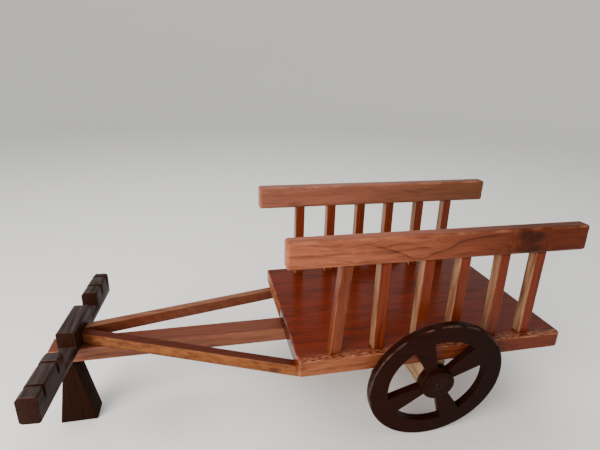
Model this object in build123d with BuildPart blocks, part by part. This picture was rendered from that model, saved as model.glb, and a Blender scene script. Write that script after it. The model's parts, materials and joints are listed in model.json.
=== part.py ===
from build123d import *
from math import atan2, cos, degrees, radians, sin, tan
import os

# A hand-made wooden bullock cart for a table or a serving counter: a plank deck
# with a low rail fence on each side, two cambered disc wheels, and a drawbar
# that ends in a carved yoke standing on a wooden prop.
# Frame: Z = 0 is the surface that the wheels and the prop stand on, X runs from
# the yoke (-X) to the open tail (+X), and Y = 0 is the middle of the deck.
# The cart's left side is -Y, seen by someone walking ahead of it.

# ---------------------------------------------------------------- driving sizes

deck_length = 300.0
deck_width = 215.0
deck_thick = 17.5
deck_front_corner = 3.0
deck_tail_corner = 6.0
deck_edge_round = 1.6
seam_groove = 0.7

rail_inset = 5.6
rail_width = 16.2
rail_height = 28.3
rail_front_overhang = 12.8
rail_tail_overhang = 9.8
rail_round = 3.2

baluster_count = 6
baluster_size = 12.0
baluster_height = 97.0
baluster_round = 1.0
baluster_front_margin = 42.0
baluster_tail_margin = 43.0
# How far each hand-placed baluster stands from its even place, and how far its
# top leans towards the tail.
left_drift = [-3.5, 0.5, 2.0, -1.5, 2.0, 0.0]
right_drift = [0.0, 0.0, -1.0, -2.0, 0.0, -0.5]
left_lean = [8.5, 0.0, 1.5, 1.5, 0.0, 1.5]
right_lean = [0.0, 0.0, 0.0, 0.0, 0.0, 0.0]

dowel_radius = 3.0
dowel_depth = 11.0
dowel_clearance = 0.05

wheel_radius = 75.0
wheel_thick = 9.0
wheel_camber = 6.7
wheel_stand_off = 10.0
wheel_x_from_front = 147.5
rim_inner_radius = 54.5
rim_round = 1.5
hub_radius = 19.0
spoke_width_hub = 9.5
spoke_widths_rim = [28.0, 23.0, 24.0, 24.0]
spoke_angles = [35.0, 114.5, 208.5, 297.0]
hub_cap_radius = 18.0
hub_cap_thick = 4.0
hub_cap_round = 1.4

axle_drop = 20.3
axle_block_width = 25.0
axle_block_height = 33.0
axle_block_round = 1.0
washer_radius = 9.0
washer_thick = 3.0

axle_screw_radius = 2.5
axle_screw_grip = 32.0
axle_screw_head_radius = 4.2
axle_screw_head_height = 2.4
axle_screw_recess = 1.6
axle_running_clearance = 0.08
axle_end_play = 0.3
head_side_gap = 0.5

pole_width = 26.5
pole_height = 16.0
pole_y = -5.0
pole_reach = 253.0
pole_round = 1.2

brace_width = 10.5
brace_height = 13.0
brace_root_y = 82.3
brace_apex_y = 2.5
brace_under_deck = 14.0
brace_heel = 8.0
brace_round = 0.8

yoke_from_deck = 228.0
yoke_width = 18.5
yoke_height = 28.0
yoke_saddle_height = 9.5
yoke_yaw = 3.8
yoke_left_knob = 62.5
yoke_left_saddle = 33.0
yoke_block = 57.0
yoke_right_saddle = 29.0
yoke_right_knob = 53.0
yoke_left_end_y = -124.0
yoke_bevel = 4.0
yoke_edge = 2.2
groove_width = 4.4
groove_depth = 2.8
groove_side_drop = 13.0
left_grooves = [15.0, 47.5]
right_grooves = [8.0, 33.0]

prop_from_deck = 234.5
prop_top_length = 11.0
prop_base_length = 39.0
prop_base_shift = 1.6
prop_depth = 26.0
prop_edge = 1.2
prop_dowel_radius = 3.5
prop_dowel_up = 9.0
prop_dowel_down = 18.0

screw_radius = 2.0
screw_head_radius = 3.8
screw_head_depth = 2.2
screw_bite = 12.0
yoke_screw_bite = 18.0
block_screw_inset = 15.0
screw_clearance = 0.05
nail_radius = 1.0
nail_head_radius = 2.2
nail_head_depth = 0.8
brace_nail_inset = 4.5
yoke_screw_spread = 7.0
yoke_screw_set_back = 4.5

# ------------------------------------------------------------- derived places

camber_cos = cos(radians(wheel_camber))
camber_sin = sin(radians(wheel_camber))

# The rounded outer edge of the leaning rim is what touches the ground.
wheel_centre_z = (wheel_radius - rim_round) * camber_cos + rim_round * (1 - camber_sin)
deck_under = wheel_centre_z + axle_drop
deck_top = deck_under + deck_thick
rail_bottom = deck_top + baluster_height

deck_front = (pole_reach - deck_length - rail_tail_overhang) / 2
deck_tail = deck_front + deck_length
deck_mid = (deck_front + deck_tail) / 2
axle_x = deck_front + wheel_x_from_front
rail_y = deck_width / 2 - rail_inset - rail_width / 2

pole_front = deck_front - pole_reach
pole_tail = axle_x - axle_block_width / 2
pole_under = deck_under - pole_height

yoke_x = deck_front - yoke_from_deck
yoke_length = yoke_left_knob + yoke_left_saddle + yoke_block + yoke_right_saddle
yoke_length += yoke_right_knob
prop_x = deck_front - prop_from_deck
prop_base_x = prop_x + prop_base_shift
prop_y = pole_y - (pole_width - prop_depth) / 2

sides = [("left", -1), ("right", 1)]


def save(piece, name):
    piece.part.label = name
    export_step(piece.part, f"parts/{name}.step")


def wheel_plane(side, depth):
    """The plane across a wheel's axle, depth mm inside the wheel's outer face."""
    outward = Vector(0, side * camber_cos, -camber_sin)
    centre = Vector(axle_x, side * (deck_width / 2 + wheel_stand_off), wheel_centre_z)
    return Plane(centre - outward * depth, x_dir=(-side, 0, 0), z_dir=outward)


def baluster_places(drift):
    """X of each baluster's foot, from the front one to the tail one."""
    first = deck_front + baluster_front_margin
    pitch = deck_length - baluster_front_margin - baluster_tail_margin
    pitch /= baluster_count - 1
    return [first + pitch * i + drift[i] for i in range(baluster_count)]


balusters = {"left": list(zip(baluster_places(left_drift), left_lean)),
             "right": list(zip(baluster_places(right_drift), right_lean))}
dowel_hole = dowel_radius + dowel_clearance
screw_hole = screw_radius + screw_clearance
nail_hole = nail_radius + screw_clearance

# Screws and nails that come up from below: (x, y, radius, head radius, head depth,
# height of the head's face, height of the tip).
axle_block_under = deck_under - axle_block_height
block_screw_y = deck_width / 2 - axle_screw_grip - block_screw_inset
block_screws = [(axle_x, y) for y in (-block_screw_y, -block_screw_y / 3,
                                      block_screw_y / 3, block_screw_y)]
pole_screws = [(deck_front + 30.0, pole_y - pole_width / 4),
               (deck_front + 90.0, pole_y - pole_width / 4)]
yoke_screws = [(yoke_x + yoke_screw_set_back, pole_y - yoke_screw_spread),
               (yoke_x + yoke_screw_set_back, pole_y + yoke_screw_spread)]


def fastener(points, radius, head_radius, head_depth, head_z, tip_z):
    """Straight fasteners standing on their heads, one solid at each point."""
    with BuildPart() as group:
        with BuildSketch(Plane.XY.offset(head_z)):
            with Locations(*points):
                Circle(head_radius)
        extrude(amount=head_depth)
        with BuildSketch(Plane.XY.offset(head_z)):
            with Locations(*points):
                Circle(radius)
        extrude(amount=tip_z - head_z)
    return group


def drill(points, radius, head_radius, head_depth, head_z, tip_z):
    """The hole shapes that such fasteners sit in, to cut out of the wood."""
    return fastener(points, radius + screw_clearance, head_radius + screw_clearance,
                    head_depth + screw_clearance, head_z, tip_z).part


os.makedirs("parts", exist_ok=True)

# ------------------------------------------------------------------------- deck


def brace_line(side):
    """Plan direction of a brace from the deck to the yoke, and its yoke point."""
    spread = side * brace_root_y - brace_apex_y
    angle = atan2(abs(spread), yoke_from_deck - yoke_width / 2)
    end_y = brace_apex_y + side * brace_width / 2 / cos(angle)
    run_x = -(yoke_from_deck - yoke_width / 2)
    run_y = end_y - side * brace_root_y
    return Vector(run_x, run_y, 0).normalized(), Vector(run_x, run_y, 0).length


def brace_nail_points(side):
    """Plan place of the nail that holds a brace under the deck."""
    direction, length = brace_line(side)
    point = Vector(deck_front, side * brace_root_y, 0) - direction * brace_nail_inset
    return [(point.X, point.Y)]


for name, side in sides:
    with BuildPart() as deck_board:
        with BuildSketch(Plane.XY.offset(deck_under)):
            with Locations((deck_mid, side * deck_width / 4)):
                Rectangle(deck_length, deck_width / 2)
        extrude(amount=deck_thick)
        corners = deck_board.edges().filter_by(Axis.Z).group_by(Axis.Y)
        outer_corners = corners[0] if side < 0 else corners[-1]
        fillet(outer_corners.sort_by(Axis.X)[0], deck_front_corner)
        corners = deck_board.edges().filter_by(Axis.Z).group_by(Axis.X)[-1]
        fillet(corners.sort_by(Axis.Y)[0 if side < 0 else -1], deck_tail_corner)
        for face in (deck_board.faces().sort_by(Axis.Z)[-1],
                     deck_board.faces().sort_by(Axis.Z)[0]):
            rim = face.outer_wire().edges().filter_by(lambda e: abs(e.center().Y) > 0.01)
            fillet(rim, deck_edge_round)
        with BuildSketch(Plane.YZ.offset(deck_front)):
            with Locations((0, deck_top)):
                Rectangle(seam_groove, seam_groove, rotation=45)
        extrude(amount=deck_length, mode=Mode.SUBTRACT)
        foot_points = [(x, side * rail_y) for x, lean in balusters[name]]
        with BuildSketch(Plane.XY.offset(deck_top - dowel_depth)):
            with Locations(*foot_points):
                Circle(dowel_hole)
        extrude(amount=dowel_depth, mode=Mode.SUBTRACT)
        with BuildSketch(Plane.XY.offset(deck_under)):
            with Locations(*[p for p in block_screws + pole_screws if p[1] * side > 0]):
                Circle(screw_hole)
        extrude(amount=screw_bite, mode=Mode.SUBTRACT)
        with BuildSketch(Plane.XY.offset(deck_under)):
            with Locations(*brace_nail_points(side)):
                Circle(nail_hole)
        extrude(amount=screw_bite, mode=Mode.SUBTRACT)
    save(deck_board, f"{name}_deck_board")

# ------------------------------------------------------- side rails and balusters

for name, side in sides:
    rail_length = rail_front_overhang + deck_length + rail_tail_overhang
    rail_mid_x = (deck_front - rail_front_overhang + deck_tail + rail_tail_overhang) / 2
    with BuildPart() as rail:
        with Locations((rail_mid_x, side * rail_y, rail_bottom + rail_height / 2)):
            Box(rail_length, rail_width, rail_height)
        fillet(rail.edges(), rail_round)
        head_points = [(x + lean, side * rail_y) for x, lean in balusters[name]]
        with BuildSketch(Plane.XY.offset(rail_bottom)):
            with Locations(*head_points):
                Circle(dowel_hole)
        extrude(amount=dowel_depth, mode=Mode.SUBTRACT)
    save(rail, f"{name}_rail")

    for number, (foot_x, lean) in enumerate(balusters[name], start=1):
        half = baluster_size / 2
        with BuildPart() as baluster:
            with BuildSketch(Plane.XZ.offset(-side * rail_y)):
                Polygon((foot_x - half, deck_top), (foot_x + half, deck_top),
                        (foot_x + lean + half, rail_bottom),
                        (foot_x + lean - half, rail_bottom), align=None)
            extrude(amount=half, both=True)
            long_edges = baluster.edges().filter_by(lambda e: e.length > 2 * baluster_size)
            fillet(long_edges, baluster_round)
            with BuildSketch(Plane.XY.offset(deck_top)):
                with Locations((foot_x, side * rail_y)):
                    Circle(dowel_hole)
            extrude(amount=dowel_depth, mode=Mode.SUBTRACT)
            with BuildSketch(Plane.XY.offset(rail_bottom - dowel_depth)):
                with Locations((foot_x + lean, side * rail_y)):
                    Circle(dowel_hole)
            extrude(amount=dowel_depth, mode=Mode.SUBTRACT)
        save(baluster, f"{name}_baluster_{number}")

    foot_points = [(x, side * rail_y) for x, lean in balusters[name]]
    head_points = [(x + lean, side * rail_y) for x, lean in balusters[name]]
    for end, joint_z, points in (("foot", deck_top, foot_points),
                                 ("head", rail_bottom, head_points)):
        with BuildPart() as dowels:
            with BuildSketch(Plane.XY.offset(joint_z)):
                with Locations(*points):
                    Circle(dowel_radius)
            extrude(amount=dowel_depth, both=True)
        save(dowels, f"{name}_{end}_dowels")

# ------------------------------------------------------------------- undercarriage

block_face_depth = wheel_thick + 2 * axle_end_play + washer_thick


def block_end_y(side, z):
    """Y of the block's end, which is cut square to the cambered axle."""
    face = wheel_plane(side, block_face_depth).origin
    return face.Y + side * tan(radians(wheel_camber)) * (z - face.Z)


block_drill = drill(block_screws, screw_radius, screw_head_radius, screw_head_depth,
                    axle_block_under, deck_under)
with BuildPart() as axle_block:
    with BuildSketch(Plane.YZ.offset(axle_x - axle_block_width / 2)):
        Polygon((block_end_y(-1, axle_block_under), axle_block_under),
                (block_end_y(1, axle_block_under), axle_block_under),
                (block_end_y(1, deck_under), deck_under),
                (block_end_y(-1, deck_under), deck_under), align=None)
    extrude(amount=axle_block_width)
    lower_edges = axle_block.edges().filter_by(Axis.Y).group_by(Axis.Z)[0]
    fillet(lower_edges, axle_block_round)
    for name, side in sides:
        with BuildSketch(wheel_plane(side, block_face_depth)):
            Circle(axle_screw_radius)
        extrude(amount=-axle_screw_grip, mode=Mode.SUBTRACT)
    add(block_drill, mode=Mode.SUBTRACT)
save(axle_block, "axle_block")

block_screw_group = fastener(block_screws, screw_radius, screw_head_radius,
                             screw_head_depth, axle_block_under, deck_under + screw_bite)
save(block_screw_group, "axle_block_screws")

for name, side in sides:
    outer_face = wheel_plane(side, 0)
    with BuildPart() as wheel:
        with BuildSketch(outer_face):
            Circle(wheel_radius)
            Circle(rim_inner_radius, mode=Mode.SUBTRACT)
            Circle(hub_radius)
            for angle, spoke_width_rim in zip(spoke_angles, spoke_widths_rim):
                along = Vector(cos(radians(angle)), sin(radians(angle)))
                across = Vector(-along.Y, along.X)
                near = along * (hub_radius / 2)
                far = along * (rim_inner_radius + rim_round)
                Polygon(tuple(near + across * (spoke_width_hub / 2))[:2],
                        tuple(near - across * (spoke_width_hub / 2))[:2],
                        tuple(far - across * (spoke_width_rim / 2))[:2],
                        tuple(far + across * (spoke_width_rim / 2))[:2], align=None)
        extrude(amount=-wheel_thick)
        rims = wheel.edges().filter_by(GeomType.CIRCLE)
        rims = rims.filter_by(lambda e: abs(e.radius - wheel_radius) < 0.01)
        fillet(rims, rim_round)
        with BuildSketch(outer_face):
            Circle(axle_screw_radius + axle_running_clearance)
        extrude(amount=-wheel_thick, mode=Mode.SUBTRACT)
    save(wheel, f"{name}_wheel")

    with BuildPart() as hub_cap:
        with BuildSketch(outer_face):
            Circle(hub_cap_radius)
        extrude(amount=hub_cap_thick)
        crown = hub_cap.edges().filter_by(GeomType.CIRCLE)
        fillet(crown.sort_by(Axis.Y)[0 if side < 0 else -1], hub_cap_round)
        with BuildSketch(outer_face):
            Circle(axle_screw_radius + axle_running_clearance)
        extrude(amount=hub_cap_thick, mode=Mode.SUBTRACT)
        with BuildSketch(wheel_plane(side, axle_screw_recess - hub_cap_thick)):
            Circle(axle_screw_head_radius + head_side_gap)
        extrude(amount=axle_screw_recess, mode=Mode.SUBTRACT)
    save(hub_cap, f"{name}_hub_cap")

    head_depth = axle_screw_recess - axle_end_play - hub_cap_thick
    with BuildPart() as axle_screw:
        with BuildSketch(wheel_plane(side, head_depth)):
            Circle(axle_screw_head_radius)
        extrude(amount=axle_screw_head_height)
        fillet(axle_screw.edges().sort_by(Axis.Y)[0 if side < 0 else -1],
               axle_screw_head_height / 2)
        with BuildSketch(wheel_plane(side, head_depth)):
            Circle(axle_screw_radius)
        extrude(amount=head_depth - block_face_depth - axle_screw_grip)
    save(axle_screw, f"{name}_axle_screw")

    with BuildPart() as washer:
        with BuildSketch(wheel_plane(side, block_face_depth)):
            Circle(washer_radius)
            Circle(axle_screw_radius, mode=Mode.SUBTRACT)
        extrude(amount=washer_thick)
    save(washer, f"{name}_washer")

# ------------------------------------------------------------------------ drawbar

pole_drill = drill(pole_screws + yoke_screws, screw_radius, screw_head_radius,
                   screw_head_depth, pole_under, deck_under)
with BuildPart() as pole:
    with Locations(((pole_front + pole_tail) / 2, pole_y, deck_under - pole_height / 2)):
        Box(pole_tail - pole_front, pole_width, pole_height)
    fillet(pole.edges().filter_by(Axis.X), pole_round)
    add(pole_drill, mode=Mode.SUBTRACT)
    with BuildSketch(Plane.XY.offset(pole_under)):
        with Locations((prop_x, prop_y)):
            Circle(prop_dowel_radius + dowel_clearance)
    extrude(amount=prop_dowel_up, mode=Mode.SUBTRACT)
save(pole, "drawbar_pole")

pole_screw_group = fastener(pole_screws, screw_radius, screw_head_radius,
                            screw_head_depth, pole_under, deck_under + screw_bite)
save(pole_screw_group, "pole_screws")

yoke_rear = Plane((yoke_x, pole_y, deck_under), x_dir=(1, 0, 0), z_dir=(0, 0, 1))
yoke_frame = yoke_rear.rotated((0, 0, -yoke_yaw))
rear_normal = yoke_frame.x_dir
rear_point = yoke_frame.from_local_coords((yoke_width / 2, 0, 0))

for name, side in sides:
    direction, length = brace_line(side)
    root = Vector(deck_front, side * brace_root_y, deck_under)
    profile = Plane(root, x_dir=direction, z_dir=direction.cross(Vector(0, 0, 1)))
    beyond = length + yoke_width
    rise = brace_height * beyond / length
    with BuildPart() as brace:
        with BuildSketch(profile):
            Polygon((-brace_under_deck, 0), (-brace_heel, -brace_height),
                    (0, -brace_height), (beyond, rise - brace_height), (beyond, rise),
                    (0, 0), align=None)
        extrude(amount=brace_width / 2, both=True)
        long_edges = brace.edges().filter_by(lambda e: e.length > 2 * brace_height)
        fillet(long_edges, brace_round)
        split(bisect_by=Plane(rear_point, z_dir=rear_normal), keep=Keep.TOP)
        split(bisect_by=Plane((yoke_x, brace_apex_y, 0), z_dir=(0, side, 0)), keep=Keep.TOP)
        with BuildSketch(Plane.XY.offset(deck_under)):
            with Locations(((pole_front + deck_front) / 2, pole_y)):
                Rectangle(deck_front - pole_front, pole_width)
        extrude(amount=-brace_height, mode=Mode.SUBTRACT)
        with BuildSketch(Plane.XY.offset(deck_under - brace_height)):
            with Locations(*brace_nail_points(side)):
                Circle(nail_hole)
        extrude(amount=brace_height, mode=Mode.SUBTRACT)
    save(brace, f"{name}_brace")

brace_nail_group = fastener(brace_nail_points(-1) + brace_nail_points(1), nail_radius,
                            nail_head_radius, -nail_head_depth,
                            deck_under - brace_height, deck_under + screw_bite)
save(brace_nail_group, "brace_nails")

# --------------------------------------------------------------------------- yoke


def yoke_section(y):
    """The plane across the yoke, y mm from the pole's middle towards the right."""
    return Plane(yoke_frame.from_local_coords((0, y, 0)), x_dir=yoke_frame.x_dir,
                 z_dir=-yoke_frame.y_dir)


def yoke_stretch(start, length, height, front_bevel):
    """One straight stretch of the yoke with its long edges bevelled."""
    half = yoke_width / 2
    with BuildPart() as stretch:
        with BuildSketch(yoke_section(start)):
            Polygon((-half, yoke_edge), (yoke_edge - half, 0), (half - yoke_edge, 0),
                    (half, yoke_edge), (half, height - yoke_edge),
                    (half - yoke_edge, height), (front_bevel - half, height),
                    (-half, height - front_bevel), align=None)
        extrude(amount=-length)
    return stretch.part


start = yoke_left_end_y - pole_y
block_start = start + yoke_left_knob + yoke_left_saddle
right_knob_start = start + yoke_length - yoke_right_knob
yoke_stretches = [yoke_stretch(start, yoke_length, yoke_saddle_height, yoke_edge),
                  yoke_stretch(start, yoke_left_knob, yoke_height, yoke_bevel),
                  yoke_stretch(block_start, yoke_block, yoke_height, yoke_edge),
                  yoke_stretch(right_knob_start, yoke_right_knob, yoke_height, yoke_bevel)]
with BuildPart() as yoke:
    for stretch in yoke_stretches:
        add(stretch)
    groove_places = [start + g for g in left_grooves]
    groove_places += [start + yoke_length - g for g in right_grooves]
    for place in groove_places:
        with BuildSketch(yoke_section(place)):
            with Locations((0, yoke_height)):
                Rectangle(2 * yoke_width, 2 * groove_side_drop)
            with Locations((0, yoke_height - groove_depth - groove_side_drop)):
                Rectangle(yoke_width - 2 * groove_depth, 2 * groove_side_drop,
                          mode=Mode.SUBTRACT)
        extrude(amount=groove_width / 2, both=True, mode=Mode.SUBTRACT)
    with BuildSketch(Plane.XY.offset(deck_under)):
        with Locations(*yoke_screws):
            Circle(screw_hole)
    extrude(amount=yoke_screw_bite, mode=Mode.SUBTRACT)
save(yoke, "yoke")

yoke_screw_group = fastener(yoke_screws, screw_radius, screw_head_radius,
                            screw_head_depth, pole_under, deck_under + yoke_screw_bite)
save(yoke_screw_group, "yoke_screws")

# --------------------------------------------------------------------------- prop

with BuildPart() as prop:
    with BuildSketch(Plane.XZ.offset(-prop_y)):
        Polygon((prop_base_x - prop_base_length / 2, 0),
                (prop_base_x + prop_base_length / 2, 0),
                (prop_x + prop_top_length / 2, pole_under),
                (prop_x - prop_top_length / 2, pole_under), align=None)
    extrude(amount=prop_depth / 2, both=True)
    upright_edges = prop.edges().filter_by(lambda e: e.length > 1.5 * prop_base_length)
    fillet(upright_edges, prop_edge)
    with BuildSketch(Plane.XY.offset(pole_under - prop_dowel_down)):
        with Locations((prop_x, prop_y)):
            Circle(prop_dowel_radius + dowel_clearance)
    extrude(amount=prop_dowel_down, mode=Mode.SUBTRACT)
save(prop, "prop")

with BuildPart() as prop_dowel:
    with BuildSketch(Plane.XY.offset(pole_under - prop_dowel_down)):
        with Locations((prop_x, prop_y)):
            Circle(prop_dowel_radius)
    extrude(amount=prop_dowel_down + prop_dowel_up)
save(prop_dowel, "prop_dowel")
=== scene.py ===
import json
import math

import bmesh
import bpy
from mathutils import Matrix, Vector
from mathutils.bvhtree import BVHTree


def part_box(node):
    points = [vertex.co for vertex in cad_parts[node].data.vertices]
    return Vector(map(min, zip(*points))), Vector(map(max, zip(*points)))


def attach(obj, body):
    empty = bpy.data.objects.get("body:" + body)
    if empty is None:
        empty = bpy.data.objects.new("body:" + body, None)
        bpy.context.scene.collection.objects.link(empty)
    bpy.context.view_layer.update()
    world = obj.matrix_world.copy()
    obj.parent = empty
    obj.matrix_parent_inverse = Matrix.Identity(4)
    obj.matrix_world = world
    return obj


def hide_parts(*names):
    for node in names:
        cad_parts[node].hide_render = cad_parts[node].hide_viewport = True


MM = 0.001
QUARTER = math.pi / 2
SAME_CORNER = 1e-6  # metres: corners this near each other are one corner

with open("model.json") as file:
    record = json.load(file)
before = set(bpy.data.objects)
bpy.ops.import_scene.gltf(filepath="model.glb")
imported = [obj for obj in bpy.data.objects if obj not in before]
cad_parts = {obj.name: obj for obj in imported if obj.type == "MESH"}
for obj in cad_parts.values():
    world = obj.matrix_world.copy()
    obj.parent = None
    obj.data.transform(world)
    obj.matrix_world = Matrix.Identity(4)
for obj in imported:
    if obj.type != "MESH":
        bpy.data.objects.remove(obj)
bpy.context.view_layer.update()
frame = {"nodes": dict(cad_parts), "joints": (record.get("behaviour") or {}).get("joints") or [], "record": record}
nodes = frame["nodes"]


# ------------------------------------------------------------------ small helpers

def srgb(hex_colour):
    """A colour as linear RGBA from its sRGB hex value."""
    parts = [int(hex_colour[i:i + 2], 16) / 255 for i in (1, 3, 5)]
    linear = [c / 12.92 if c <= 0.04045 else ((c + 0.055) / 1.055) ** 2.4 for c in parts]
    return (*linear, 1.0)


def add_node(tree, kind, inputs=None, **settings):
    """One node with its settings. An input's value is a number, a tuple or a socket to link."""
    made = tree.nodes.new(kind)
    for key, value in settings.items():
        setattr(made, key, value)
    for key, value in (inputs or {}).items():
        if isinstance(value, bpy.types.NodeSocket):
            tree.links.new(value, made.inputs[key])
        else:
            made.inputs[key].default_value = value
    return made


# --------------------------------------------------------------------- materials

def grain_line(tree, place, wander, streak, colour, dark, points, width_mm, darkness):
    """Draws one dark line through the points (x, z), in mm, over a colour, with a weaker
    stain under it that dies away downwards. The line thins out where the streaks do."""
    low_x, high_x = points[0][0], points[-1][0]
    low_z, high_z = min(z for x, z in points), max(z for x, z in points)
    moved = add_node(tree, "ShaderNodeVectorMath", {0: wander, 1: (0.006, 0.006, 0.006), 2: place},
                     operation="MULTIPLY_ADD")
    parts = add_node(tree, "ShaderNodeSeparateXYZ", {0: moved.outputs["Vector"]}).outputs
    down_rail = add_node(tree, "ShaderNodeMapRange",
                         {"Value": parts[0], "From Min": low_x * MM, "From Max": high_x * MM})
    path = add_node(tree, "ShaderNodeFloatCurve", {"Value": down_rail.outputs["Result"]})
    curve = path.mapping.curves[0]
    while len(curve.points) < len(points):
        curve.points.new(0.5, 0.5)
    for spot, (x, z) in zip(curve.points, points):
        spot.location = ((x - low_x) / (high_x - low_x), (z - low_z) / (high_z - low_z))
    path.mapping.update()
    height = add_node(tree, "ShaderNodeMapRange",
                      {"Value": path.outputs["Value"], "To Min": low_z * MM,
                       "To Max": high_z * MM}).outputs["Result"]
    above = add_node(tree, "ShaderNodeMath", {0: parts[2], 1: height},
                     operation="SUBTRACT").outputs["Value"]
    off = add_node(tree, "ShaderNodeMath", {0: above}, operation="ABSOLUTE").outputs["Value"]
    line = add_node(tree, "ShaderNodeMapRange",
                    {"Value": off, "From Min": width_mm * MM, "From Max": 0.0,
                     "To Max": darkness}, interpolation_type="SMOOTHSTEP").outputs["Result"]
    stain = add_node(tree, "ShaderNodeMapRange",
                     {"Value": above, "From Min": -9 * MM, "From Max": 0.0,
                      "To Max": darkness * 0.45}).outputs["Result"]
    under = add_node(tree, "ShaderNodeMath", {0: above, 1: 0.0},
                     operation="LESS_THAN").outputs["Value"]
    stain = add_node(tree, "ShaderNodeMath", {0: stain, 1: under},
                     operation="MULTIPLY").outputs["Value"]
    mark = add_node(tree, "ShaderNodeMath", {0: line, 1: stain},
                    operation="MAXIMUM").outputs["Value"]
    broken = add_node(tree, "ShaderNodeMapRange",
                      {"Value": streak, "From Min": 0.3, "From Max": 0.55, "To Min": 0.45})
    mark = add_node(tree, "ShaderNodeMath", {0: mark, 1: broken.outputs["Result"]},
                    operation="MULTIPLY").outputs["Value"]
    # It starts and ends softly.
    start = add_node(tree, "ShaderNodeMapRange",
                     {"Value": parts[0], "From Min": low_x * MM, "From Max": low_x * MM + 0.02})
    end = add_node(tree, "ShaderNodeMapRange",
                   {"Value": parts[0], "From Min": high_x * MM, "From Max": high_x * MM - 0.02})
    ends = add_node(tree, "ShaderNodeMath",
                    {0: start.outputs["Result"], 1: end.outputs["Result"]},
                    operation="MULTIPLY")
    mark = add_node(tree, "ShaderNodeMath", {0: mark, 1: ends.outputs["Value"]},
                    operation="MULTIPLY").outputs["Value"]
    return add_node(tree, "ShaderNodeMix", {"Factor": mark, 6: colour, 7: dark},
                    data_type="RGBA").outputs[2]


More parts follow.
